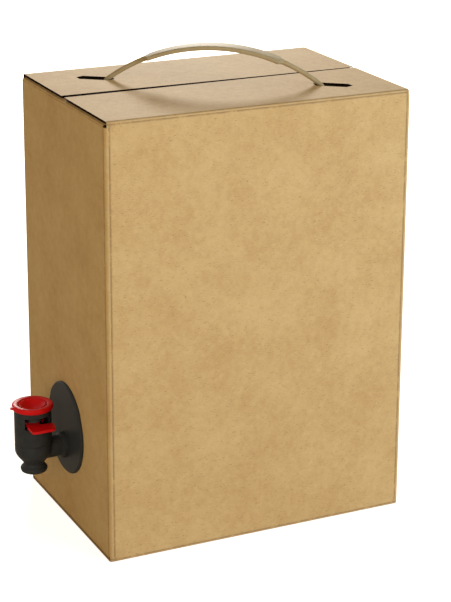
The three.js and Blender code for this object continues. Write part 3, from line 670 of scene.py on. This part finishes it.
# The handle. One strap of cream polyethylene: a flat grip, shoulders, and two round necks with fine cross
# ribs that run down through the slits to a crosswise bar at each end, under the flaps.
HANDLE_ANGLE = -31
NECK_RADIUS = 1.5
GRIP_WIDTH = 13
GRIP_THICKNESS = 2.9
GRIP_HALF_LENGTH = 42
GRIP_SQUARENESS = 0.55       # 0 would make the grip's section an ellipse
SHOULDER_LENGTH = 3.5
ARCH_RISE = 20.7
ARCH_SPAN = 124.5
NECK_BEND_RADIUS = 4
BAR_RADIUS = 2
BAR_LENGTH = 20
BAR_SIDES = 24
RIB_PITCH = 1.25
RIB_DEPTH = 0.16
RIBS_START = 1.5             # beyond the end of the grip
RIBS_FADE = 2
STRAP_SIDES = 40
STRAP_STEP = 0.3             # mm along the strap, four to a rib
STRAP_CREAM = "#b3a482"
STRAP_TAN = "#96845f"
arch_radius = (ARCH_RISE ** 2 + (ARCH_SPAN / 2) ** 2) / (2 * ARCH_RISE)
arch_half_angle = math.asin(ARCH_SPAN / 2 / arch_radius)
half_arch = arch_radius * arch_half_angle
neck_bend = NECK_BEND_RADIUS * (math.pi / 2 - arch_half_angle)
bar_height = Vector(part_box("handle")[0]).z / MM + BAR_RADIUS
neck_drop = CARTON_HEIGHT - NECK_BEND_RADIUS * math.cos(arch_half_angle) - bar_height
strap_half = half_arch + neck_bend + neck_drop


def strap_line(distance):
    """Along, height and lean of the strap's middle line at a signed distance from its crown"""
    side = math.copysign(1, distance)
    run = abs(distance)
    lean = min(run, half_arch) / arch_radius
    along = arch_radius * math.sin(lean)
    height = CARTON_HEIGHT + ARCH_RISE - arch_radius * (1 - math.cos(lean))
    if run > half_arch:
        lean = arch_half_angle + min(run - half_arch, neck_bend) / NECK_BEND_RADIUS
        along += NECK_BEND_RADIUS * (math.sin(lean) - math.sin(arch_half_angle))
        height -= NECK_BEND_RADIUS * (math.cos(arch_half_angle) - math.cos(lean))
        height -= max(run - half_arch - neck_bend, 0)
    return side * along, height, side * lean


def strap_section(distance):
    """Half width and half thickness, and how flat the section is: 1 in the grip, 0 in a neck"""
    t = (abs(distance) - GRIP_HALF_LENGTH + SHOULDER_LENGTH) / SHOULDER_LENGTH
    t = min(max(t, 0), 1)
    fade = t * t * (3 - 2 * t)
    wide = GRIP_WIDTH / 2 + (NECK_RADIUS - GRIP_WIDTH / 2) * fade
    thick = GRIP_THICKNESS / 2 + (NECK_RADIUS - GRIP_THICKNESS / 2) * fade
    return wide, thick, 1 - fade


def strap_ring(distance):
    """The strap's outline at a distance from its crown, with the neck's ribs"""
    wide, thick, flatness = strap_section(distance)
    along, height, lean = strap_line(distance)
    past = min(max((abs(distance) - GRIP_HALF_LENGTH - RIBS_START) / RIBS_FADE, 0), 1)
    rib = RIB_DEPTH * past * (0.5 + 0.5 * math.cos(2 * math.pi * distance / RIB_PITCH))
    power = 1 - GRIP_SQUARENESS * flatness
    ring = []
    for i in range(STRAP_SIDES):
        angle = 2 * math.pi * i / STRAP_SIDES
        across, through = math.cos(angle), math.sin(angle)
        w = (wide - rib) * math.copysign(abs(across) ** power, across)
        t = (thick - rib) * math.copysign(abs(through) ** power, through)
        ring.append((along + t * math.sin(lean), -w, height + t * math.cos(lean)))
    return ring


turn_handle = Matrix.Rotation(math.radians(HANDLE_ANGLE), 3, "Z")
steps = round(2 * strap_half / STRAP_STEP)
strap_points = [tuple(turn_handle @ Vector(point))
                for i in range(steps + 1) for point in strap_ring(-strap_half + 2 * strap_half * i / steps)]
strap_faces = [[i * STRAP_SIDES + j, i * STRAP_SIDES + (j + 1) % STRAP_SIDES,
                (i + 1) * STRAP_SIDES + (j + 1) % STRAP_SIDES, (i + 1) * STRAP_SIDES + j]
               for i in range(steps) for j in range(STRAP_SIDES)]
strap_faces += [list(range(STRAP_SIDES)), [steps * STRAP_SIDES + j for j in reversed(range(STRAP_SIDES))]]
strap = mesh_object("strap_handle", strap_points, strap_faces, shift=carton_middle)

bars = []
for side in (-1, 1):
    foot, _, _ = strap_line(side * strap_half)
    dome = [(BAR_RADIUS * math.sin(a), BAR_LENGTH / 2 - BAR_RADIUS + BAR_RADIUS * math.cos(a))
            for a in np.linspace(0, math.pi / 2, 7)]
    profile = dome + [(r, -y) for r, y in reversed(dome)]
    bar_turns = [2 * math.pi * j / BAR_SIDES for j in range(BAR_SIDES)]
    bar_points = [tuple(turn_handle @ Vector((foot + r * math.cos(a), y, bar_height + r * math.sin(a))))
                  for r, y in profile for a in bar_turns]
    bar_faces = [[i * BAR_SIDES + j, i * BAR_SIDES + (j + 1) % BAR_SIDES,
                  (i + 1) * BAR_SIDES + (j + 1) % BAR_SIDES, (i + 1) * BAR_SIDES + j]
                 for i in range(len(profile) - 1) for j in range(BAR_SIDES)]
    bars.append(mesh_object("bar", bar_points, bar_faces, shift=carton_middle))


def weld(piece, gap):
    """Joins points that lie less than a gap in metres apart"""
    welded = bmesh.new()
    welded.from_mesh(piece.data)
    bmesh.ops.remove_doubles(welded, verts=welded.verts, dist=gap)
    welded.to_mesh(piece.data)
    welded.free()


strap = join_pieces("strap_handle", [strap, *bars])
weld(strap, 0.00001)
smooth_by_angle(strap, 50)

# Cream polyethylene, injection moulded in a matt tool: satin, slightly cloudy, with fine drag lines.
strap_plastic, tree, output, spot = new_material("cream polyethylene")
lengthwise = add(tree, "Mapping", {"Vector": spot, "Rotation": (0, 0, math.radians(-HANDLE_ANGLE)),
                                   "Scale": (1 / 0.02, 1 / 0.0009, 1 / 0.0009)})
drag = add(tree, "TexNoise", {"Vector": lengthwise.outputs[0], "Scale": 1.0, "Detail": 2.0})
cast = add(tree, "TexNoise", {"Vector": spot, "Scale": 1 / 0.007, "Detail": 3.0})
mixed = add(tree, "MapRange", {"Value": cast.outputs["Fac"], "From Min": 0.3, "From Max": 0.75,
                               "To Min": 0.0, "To Max": 0.55})
cream = add(tree, "Mix", {0: mixed.outputs[0], 6: linear(STRAP_CREAM), 7: linear(STRAP_TAN)},
            data_type="RGBA")
dragged = add(tree, "Bump", {"Height": drag.outputs["Fac"], "Strength": 0.25, "Distance": 0.0001})
surface = add(tree, "BsdfPrincipled", {"Base Color": cream.outputs[2], "Roughness": 0.58, "IOR": 1.51,
                                       "Specular IOR Level": 0.08,
                                       "Subsurface Weight": 0.08, "Subsurface Scale": 0.0015,
                                       "Normal": dragged.outputs[0]})
tree.links.new(surface.outputs[0], output.inputs["Surface"])
strap.data.materials.append(strap_plastic)
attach(strap, "strap")
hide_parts("handle")


# The tap's body. One moulding of black polypropylene: a barrel with a window through it, a bowl that
# narrows to the spout, an inlet neck with a collar, and the disc that lies against the board.
BLACK_POLYPROPYLENE = "#34373b"
BLACK_WORN = "#3f4246"
BARREL_MOUTH = 73.5
RAISED_MOUTH = 1.5           # the mouth stands this much prouder than its plain solid
tap_body = copy_of("tap_body", "tap_moulding")
for vertex in tap_body.data.vertices:
    if vertex.co.z > (BARREL_MOUTH - 0.5) * MM:
        vertex.co.z += RAISED_MOUTH * MM
mould_edges(tap_body, EDGE_ROUND, sharpest=28)

# Black polypropylene, injection moulded in a fine spark-eroded tool: matt, with a dusty grey bloom.
black_plastic, tree, output, spot = new_material("black polypropylene")
bloom = add(tree, "TexNoise", {"Vector": spot, "Scale": 1 / 0.005, "Detail": 4.0, "Roughness": 0.6})
worn = add(tree, "MapRange", {"Value": bloom.outputs["Fac"], "From Min": 0.4, "From Max": 0.75,
                              "To Min": 0.0, "To Max": 0.6})
black = add(tree, "Mix", {0: worn.outputs[0], 6: linear(BLACK_POLYPROPYLENE), 7: linear(BLACK_WORN)},
            data_type="RGBA")
# the tool's texture is near 0.1 mm; it is drawn at 0.3 mm so that it shows
spark = add(tree, "TexNoise", {"Vector": spot, "Scale": 1 / 0.0003, "Detail": 2.0})
eroded = add(tree, "Bump", {"Height": spark.outputs["Fac"], "Strength": 0.2, "Distance": 0.00003})
gloss = add(tree, "MapRange", {"Value": bloom.outputs["Fac"], "To Min": 0.34, "To Max": 0.48})
surface = add(tree, "BsdfPrincipled", {"Base Color": black.outputs[2], "Roughness": gloss.outputs[0],
                                       "IOR": 1.49, "Specular IOR Level": 0.07,
                                       "Normal": eroded.outputs[0]})
tree.links.new(surface.outputs[0], output.inputs["Surface"])
tap_body.data.materials.append(black_plastic)
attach(tap_body, "root")
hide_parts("tap_body")


# The red pieces of the tap. A flat plate slid through the window as a wing on each side, a ring snapped
# on the barrel's mouth, and the dished button that slides in the ring; all red polypropylene.
RED_POLYPROPYLENE = "#e0141a"
RED_DEEP = "#cc080d"
button_low, button_high = (Vector(corner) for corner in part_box("push_button"))
barrel_axis = Vector(((button_low.x + button_high.x) / 2, (button_low.y + button_high.y) / 2, 0))
RING_RADIUS = 12.1
RING_FOOT = 75.1
RING_TOP = 78.3
RING_GUIDE = 8.25            # the bore in which the button slides
RING_NECK = 9.1              # the part of the ring that goes down into the barrel's mouth
RING_NECK_DEPTH = 1.6
BUTTON_RADIUS = 7.9
BUTTON_EDGE = 77.7
BUTTON_BOWL = 3.8
BUTTON_UNDERSIDE = 72.9
SKIRT_BORE = 6.7
SKIRT_DEPTH = 0.7
STEM_BOSS = (2.3, 3.6, 70.7)     # bore, outside and foot of the boss that grips the stem
LIP_TIP = 13.7
WING_TOP = 67.8
WING_THICKNESS = 1.5
BELLOWS_HOLE = 5.4
# each wing's outline seen from above, from the barrel's axis, as x, y and corner radius
NEAR_WING = [(6.0, -2.0, 0), (1.2, -5.8, 0), (1.2, -9.1, 0), (9.4, -9.5, 0.8), (7.5, -18.4, 2.2),
             (-6.6, -18.8, 2.2), (-6.6, -9.3, 0), (-5.2, -8.4, 0), (-6.3, -5.2, 0)]
FAR_WING = [(-6.3, 3.6, 0), (-2.0, 5.8, 0), (-2.0, 9.1, 0), (-7.2, 9.5, 0.8), (-4.0, 18.4, 2.2),
            (9.0, 18.8, 2.2), (7.6, 9.3, 0), (5.2, 8.4, 0), (6.3, 5.2, 0)]


def turned(name, profile, centre, sides=72):
    """A closed profile of radius and height in mm, turned about an upright axis"""
    points = [(r * math.cos(2 * math.pi * j / sides), r * math.sin(2 * math.pi * j / sides), z)
              for r, z in profile for j in range(sides)]
    count = len(profile)
    faces = [[i * sides + j, i * sides + (j + 1) % sides, ((i + 1) % count) * sides + (j + 1) % sides,
              ((i + 1) % count) * sides + j] for i in range(count) for j in range(sides)]
    made = mesh_object(name, points, faces, shift=centre)
    weld(made, 0.000002)
    face_outward(made.data)
    return made


def rounded_outline(corners, steps=6):
    """Points of an outline whose corners, given as x, y and radius, are rounded"""
    points = []
    for i, (x, y, radius) in enumerate(corners):
        corner = Vector((x, y))
        before = Vector(corners[i - 1][:2]) - corner
        after = Vector(corners[(i + 1) % len(corners)][:2]) - corner
        start, end = corner + before.normalized() * radius, corner + after.normalized() * radius
        if radius == 0:
            points.append(corner)
            continue
        for k in range(steps + 1):
            t = k / steps
            points.append(start * (1 - t) ** 2 + corner * (2 * t * (1 - t)) + end * t ** 2)
    return points


def flat_plate(name, outline, low, high, centre):
    """A plate of an outline seen from above, between two heights in mm"""
    count = len(outline)
    points = [(p.x, p.y, z) for z in (low, high) for p in outline]
    sides = [[i, (i + 1) % count, (i + 1) % count + count, i + count] for i in range(count)]
    caps = [list(range(count - 1, -1, -1)), list(range(count, 2 * count))]
    return mesh_object(name, points, [*caps, *sides], shift=centre)


# The near wing leans a little off the carton and the far one towards it; between them the plate is a
# narrow ring round the bellows.
outline = rounded_outline(NEAR_WING) + rounded_outline(FAR_WING)
wings = flat_plate("wing_plate", outline, WING_TOP - WING_THICKNESS, WING_TOP, barrel_axis)
circle = [Vector((BELLOWS_HOLE * math.cos(a), BELLOWS_HOLE * math.sin(a)))
          for a in np.linspace(0, 2 * math.pi, 48, endpoint=False)]
bellows_hole = flat_plate("bellows_hole", circle, WING_TOP - 5, WING_TOP + 5, barrel_axis)
cut_from(wings, bellows_hole)
bpy.data.objects.remove(bellows_hole)
mould_edges(wings, 0.4, sharpest=40, steps=3)

# The ring's top falls a little towards its bore, and its outer corner is full and round.
corner = [(RING_RADIUS - 1.0 + math.cos(a), RING_TOP - 1.0 + math.sin(a))
          for a in np.linspace(0, math.pi / 2, 8)]
ring = turned("mouth_ring", [(RING_GUIDE, RING_FOOT - RING_NECK_DEPTH),
                             (RING_NECK, RING_FOOT - RING_NECK_DEPTH), (RING_NECK, RING_FOOT),
                             (RING_RADIUS - 0.5, RING_FOOT), (RING_RADIUS, RING_FOOT + 0.6), *corner,
                             (9.3, RING_TOP - 0.25), (8.7, RING_TOP - 0.45), (8.4, RING_TOP - 0.8),
                             (RING_GUIDE, RING_TOP - 1.3)], barrel_axis, sides=96)
lip_outline = [Vector((-11.2, 3.2)), Vector((-12.3, 1.5)), Vector((-LIP_TIP, 0.35)),
               Vector((-LIP_TIP, -0.35)), Vector((-12.3, -1.5)), Vector((-11.2, -3.2))]
lip = flat_plate("lip", lip_outline, RING_FOOT + 1.1, RING_TOP - 0.7, barrel_axis)
ring = join_pieces("mouth_ring", [ring, lip])
mould_edges(ring, EDGE_ROUND, sharpest=34)

# The button is a bowl from edge to edge, with a skirt and a boss below.
bowl = [((BUTTON_RADIUS - 0.35) * t, BUTTON_EDGE - BUTTON_BOWL * (1 - t ** 2.2))
        for t in np.linspace(1, 0, 16)]
bore, boss, boss_foot = STEM_BOSS
button = turned("dished_button", [
    (BUTTON_RADIUS, BUTTON_UNDERSIDE - SKIRT_DEPTH), (BUTTON_RADIUS, BUTTON_EDGE - 0.2),
    (BUTTON_RADIUS - 0.15, BUTTON_EDGE), *bowl, (0, BUTTON_UNDERSIDE), (bore, BUTTON_UNDERSIDE),
    (bore, boss_foot), (boss, boss_foot), (boss, BUTTON_UNDERSIDE),
    (SKIRT_BORE, BUTTON_UNDERSIDE), (SKIRT_BORE, BUTTON_UNDERSIDE - SKIRT_DEPTH)], barrel_axis, sides=96)
mould_edges(button, 0.1, sharpest=34)

# Red polypropylene, injection moulded in a polished tool: a clear gloss over a deep, even red.
red_plastic, tree, output, spot = new_material("red polypropylene")
tint = add(tree, "TexNoise", {"Vector": spot, "Scale": 1 / 0.008, "Detail": 2.0})
red = add(tree, "Mix", {0: tint.outputs["Fac"], 6: linear(RED_POLYPROPYLENE), 7: linear(RED_DEEP)},
          data_type="RGBA")
ripple = add(tree, "TexNoise", {"Vector": spot, "Scale": 1 / 0.003, "Detail": 2.0})
polished = add(tree, "Bump", {"Height": ripple.outputs["Fac"], "Strength": 0.12, "Distance": 0.00004})
clarity = add(tree, "MapRange", {"Value": ripple.outputs["Fac"], "To Min": 0.36, "To Max": 0.48})
surface = add(tree, "BsdfPrincipled", {"Base Color": red.outputs[2], "Roughness": clarity.outputs[0],
                                       "IOR": 1.49, "Specular IOR Level": 0.16,
                                       "Normal": polished.outputs[0]})
tree.links.new(surface.outputs[0], output.inputs["Surface"])
for piece, node, body in [(wings, "finger_wings", "root"), (ring, "cap_ring", "root"),
                          (button, "push_button", "button")]:
    piece.data.materials.append(red_plastic)
    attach(piece, body)
    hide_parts(node)


# The stem. A rod of natural polyethylene from the button down to the valve, with a flange at its foot
# that keeps the rubber plug on it.
stem = copy_of("valve_stem", "stem_rod")
mould_edges(stem, EDGE_ROUND)
stem.data.materials.append(polyethylene)
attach(stem, "button")
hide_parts("valve_stem")


# The plug and the bellows. Grey elastomer: the plug closes the seat from below, and the bellows round
# the stem seal the wet chamber and push the button back up.
ELASTOMER_GREY = "#55585a"
ELASTOMER_DARK = "#3e4143"

# Compression moulded and tacky: dull, with a talc-like bloom in patches.
rubber, tree, output, spot = new_material("grey elastomer")
talc = add(tree, "TexNoise", {"Vector": spot, "Scale": 1 / 0.0025, "Detail": 4.0})
grey = add(tree, "Mix", {0: talc.outputs["Fac"], 6: linear(ELASTOMER_DARK), 7: linear(ELASTOMER_GREY)},
           data_type="RGBA")
dull = add(tree, "MapRange", {"Value": talc.outputs["Fac"], "To Min": 0.55, "To Max": 0.8})
pores = add(tree, "Bump", {"Height": talc.outputs["Fac"], "Strength": 0.2, "Distance": 0.00006})
surface = add(tree, "BsdfPrincipled", {"Base Color": grey.outputs[2], "Roughness": dull.outputs[0],
                                       "IOR": 1.52, "Normal": pores.outputs[0]})
tree.links.new(surface.outputs[0], output.inputs["Surface"])

plug = copy_of("valve_plug", "rubber_plug")
mould_edges(plug, EDGE_ROUND)
plug.data.materials.append(rubber)
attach(plug, "button")
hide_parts("valve_plug")

bellows_low, bellows_high = (Vector(corner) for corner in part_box("return_bellows"))
bellows_middle = (bellows_low + bellows_high) / 2
BELLOWS_RADIUS = 5.0
BELLOWS_WALL = 0.6
BELLOWS_FOLD = 1.2
BELLOWS_FOLDS = 5
bellows_height = (bellows_high.z - bellows_low.z) / MM
waves = np.linspace(0, 1, BELLOWS_FOLDS * 14 + 1)
outside = [(BELLOWS_RADIUS - BELLOWS_FOLD * (0.5 - 0.5 * math.cos(2 * math.pi * BELLOWS_FOLDS * t)),
            bellows_height * t) for t in waves]
inside = [(radius - BELLOWS_WALL, height) for radius, height in reversed(outside)]
bellows = turned("rubber_bellows", outside + inside, (bellows_middle.x, bellows_middle.y, bellows_low.z))
smooth_by_angle(bellows, 50)
bellows.data.materials.append(rubber)
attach(bellows, "root")
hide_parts("return_bellows")
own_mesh(bellows)


# The floor and the light. A plain white table under a white tent. A small lamp behind on the right lights
# the top and casts the handle's shadow, a broad one lights the front, and a warm one the side with the tap.
FLOOR_HALF = 3.0
floor = mesh_object("floor", [(-FLOOR_HALF, -FLOOR_HALF, 0), (FLOOR_HALF, -FLOOR_HALF, 0),
                              (FLOOR_HALF, FLOOR_HALF, 0), (-FLOOR_HALF, FLOOR_HALF, 0)],
                    [[0, 1, 2, 3]], scale=1, shift=(0, 0, -0.0002))
paper_floor, tree, output, spot = new_material("white paper table")
seen = add(tree, "LightPath").outputs["Is Camera Ray"]
matt = add(tree, "BsdfDiffuse", {"Color": linear("#dbd6cc")})
glow = add(tree, "Emission", {"Color": (1, 1, 1, 1), "Strength": 0.85})
lit = add(tree, "AddShader", {0: matt.outputs[0], 1: glow.outputs[0]})
either = add(tree, "MixShader", {0: seen, 1: matt.outputs[0], 2: lit.outputs[0]})
tree.links.new(either.outputs[0], output.inputs["Surface"])
floor.data.materials.append(paper_floor)

SURROUND = 0.26              # how strongly the tent lights matt surfaces
TENT_CLOTH = "#ffe9c6"       # its cloth is warm
world = bpy.data.worlds.new("white tent")
world.use_nodes = True
tree = world.node_tree
tree.nodes.clear()
path = add(tree, "LightPath")
camera_or_gloss = add(tree, "Math", {0: path.outputs["Is Camera Ray"], 1: path.outputs["Is Glossy Ray"]},
                      operation="MAXIMUM")
white_rays = add(tree, "Math", {0: camera_or_gloss.outputs[0], 1: path.outputs["Is Transmission Ray"]},
                 operation="MAXIMUM")
strength = add(tree, "MapRange", {"Value": white_rays.outputs[0], "To Min": SURROUND, "To Max": 1.0})
cloth = add(tree, "Mix", {0: white_rays.outputs[0], 6: linear(TENT_CLOTH), 7: (1, 1, 1, 1)},
            data_type="RGBA")
tent = add(tree, "Background", {"Color": cloth.outputs[2], "Strength": strength.outputs[0]})
add(tree, "OutputWorld", {"Surface": tent.outputs[0]})
bpy.context.scene.world = world


def soft_lamp(name, towards, distance, width, height, power, tint):
    """A rectangular lamp at a distance in metres from the carton's middle, facing it"""
    lamp = bpy.data.lights.new(name, "AREA")
    lamp.shape = "RECTANGLE"
    lamp.size = width
    lamp.size_y = height
    lamp.energy = power
    lamp.color = linear(tint)[:3]
    made = bpy.data.objects.new(name, lamp)
    bpy.context.collection.objects.link(made)
    target = carton_middle + Vector((0, 0, CARTON_HEIGHT * MM / 2))
    direction = Vector(towards).normalized()
    made.location = target + direction * distance
    made.rotation_euler = direction.to_track_quat("Z", "Y").to_euler()


soft_lamp("lamp behind", (0.36, 0.86, 0.36), 1.6, 0.34, 0.24, 18, "#fffaf0")
soft_lamp("lamp in front", (0.6, -1.0, 0.32), 1.2, 0.8, 0.7, 10.4, "#e8f3ff")
soft_lamp("lamp at left", (-1.0, -1.0, 0.4), 1.4, 0.6, 0.9, 5.8, "#ffe6bc")


# The camera. It stands off the front left corner, a little above the top, where the photograph was taken,
# and it looks past the object's middle, so the picture is shifted a little.
FOCAL_PIXELS = 1956.0
PHOTO_HEIGHT = 602           # pixels; the picture is 451 wide
EYE_HEIGHT_PIXELS = 225      # row of the picture at which the camera looks level with its own axis
SENSOR = 36.0
CAMERA_PLACE = (-474.57, -1008.76, 514.49)    # mm, from the middle of the carton's base
CAMERA_FORWARD = (0.41277, 0.8623, -0.29334)
CAMERA_ROLL = 0.279          # degrees
lens = bpy.data.cameras.new("camera")
lens.sensor_width = SENSOR
lens.lens = FOCAL_PIXELS * SENSOR / PHOTO_HEIGHT
lens.shift_y = (EYE_HEIGHT_PIXELS - PHOTO_HEIGHT / 2) / PHOTO_HEIGHT
camera = bpy.data.objects.new("camera", lens)
bpy.context.collection.objects.link(camera)
camera.location = carton_middle + Vector(CAMERA_PLACE) * MM
aim = Vector(CAMERA_FORWARD).to_track_quat("-Z", "Y").to_matrix()
camera.rotation_euler = (aim @ Matrix.Rotation(math.radians(CAMERA_ROLL), 3, "Z")).to_euler()
bpy.context.scene.camera = camera
bpy.context.scene.view_settings.view_transform = "Standard"
